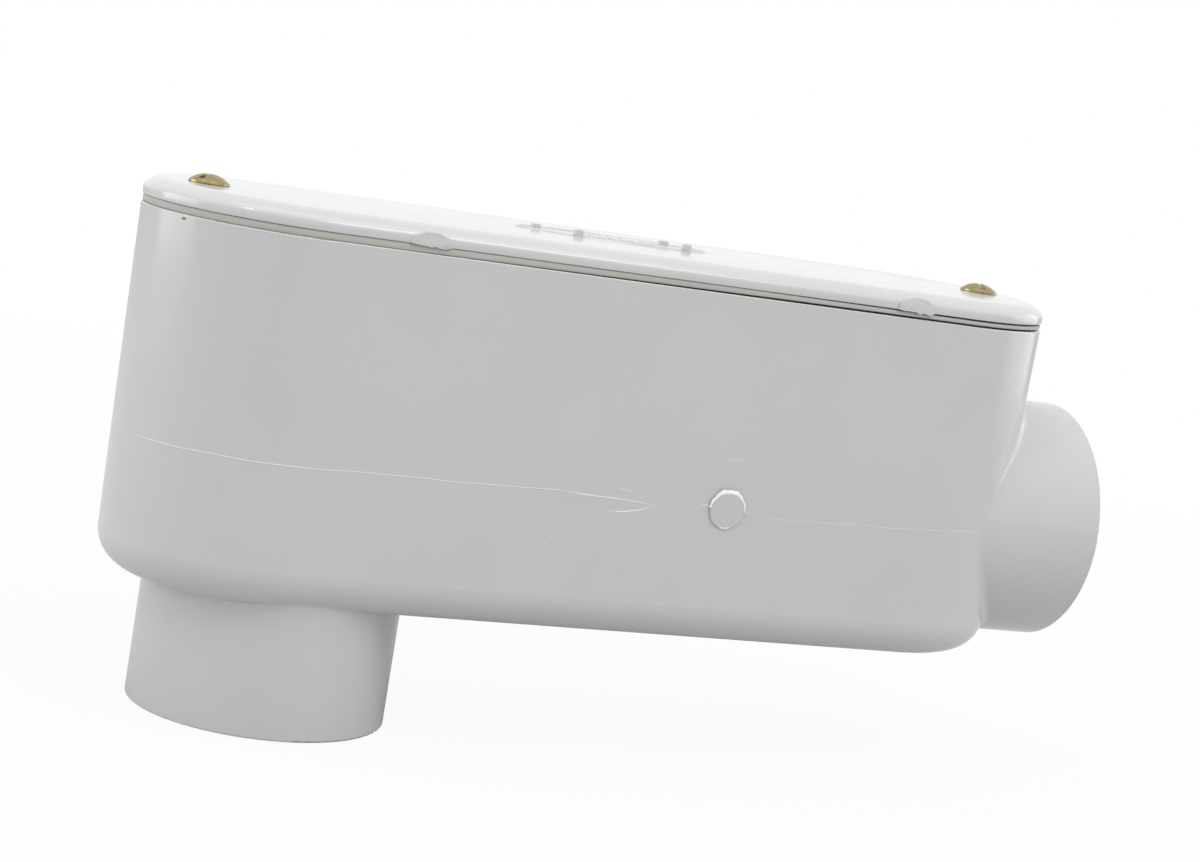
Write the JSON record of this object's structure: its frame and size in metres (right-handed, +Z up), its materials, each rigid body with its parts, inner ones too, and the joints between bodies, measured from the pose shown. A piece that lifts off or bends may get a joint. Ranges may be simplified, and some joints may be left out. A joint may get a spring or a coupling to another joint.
{
  "type": "conduit body",
  "caption": "Grey PVC conduit body with a back hub and an end hub at right angles, closed by a gasketed obround cover held with brass screws.",
  "frame": {"origin": "centre of the back hub's mouth", "axes": "+X runs along the body to the end hub and out of its mouth, +Z points up through the cover, and the back hub opens along -Z"},
  "size_m": [0.2785, 0.0792, 0.1384],
  "materials": {
    "housing_pvc": "semi-gloss moulded rigid PVC, light grey",
    "cover_pvc": "glossy moulded rigid PVC, light grey",
    "gasket_foam": "matt warm grey gasket sheet",
    "screw_brass": "dull machined brass",
    "insert_brass": "machined brass"
  },
  "bodies": {
    "housing": {"body": "housing_pvc", "gasket": "gasket_foam", "screw_insert_back": "insert_brass", "screw_insert_front": "insert_brass"},
    "cover": {"cover": "cover_pvc"},
    "screw_back": {"cover_screw_back": "screw_brass"},
    "screw_front": {"cover_screw_front": "screw_brass"}
  },
  "joints": [
    {"name": "cover_lift", "type": "slide", "parent": "housing", "child": "cover", "axis": [0, 0, 1], "range_m": [0, 0.08]},
    {"name": "back_screw_withdraw", "type": "slide", "parent": "cover", "child": "screw_back", "axis": [0, 0, 1], "range_m": [0, 0.02]},
    {"name": "front_screw_withdraw", "type": "slide", "parent": "cover", "child": "screw_front", "axis": [0, 0, 1], "range_m": [0, 0.02]}
  ]
}
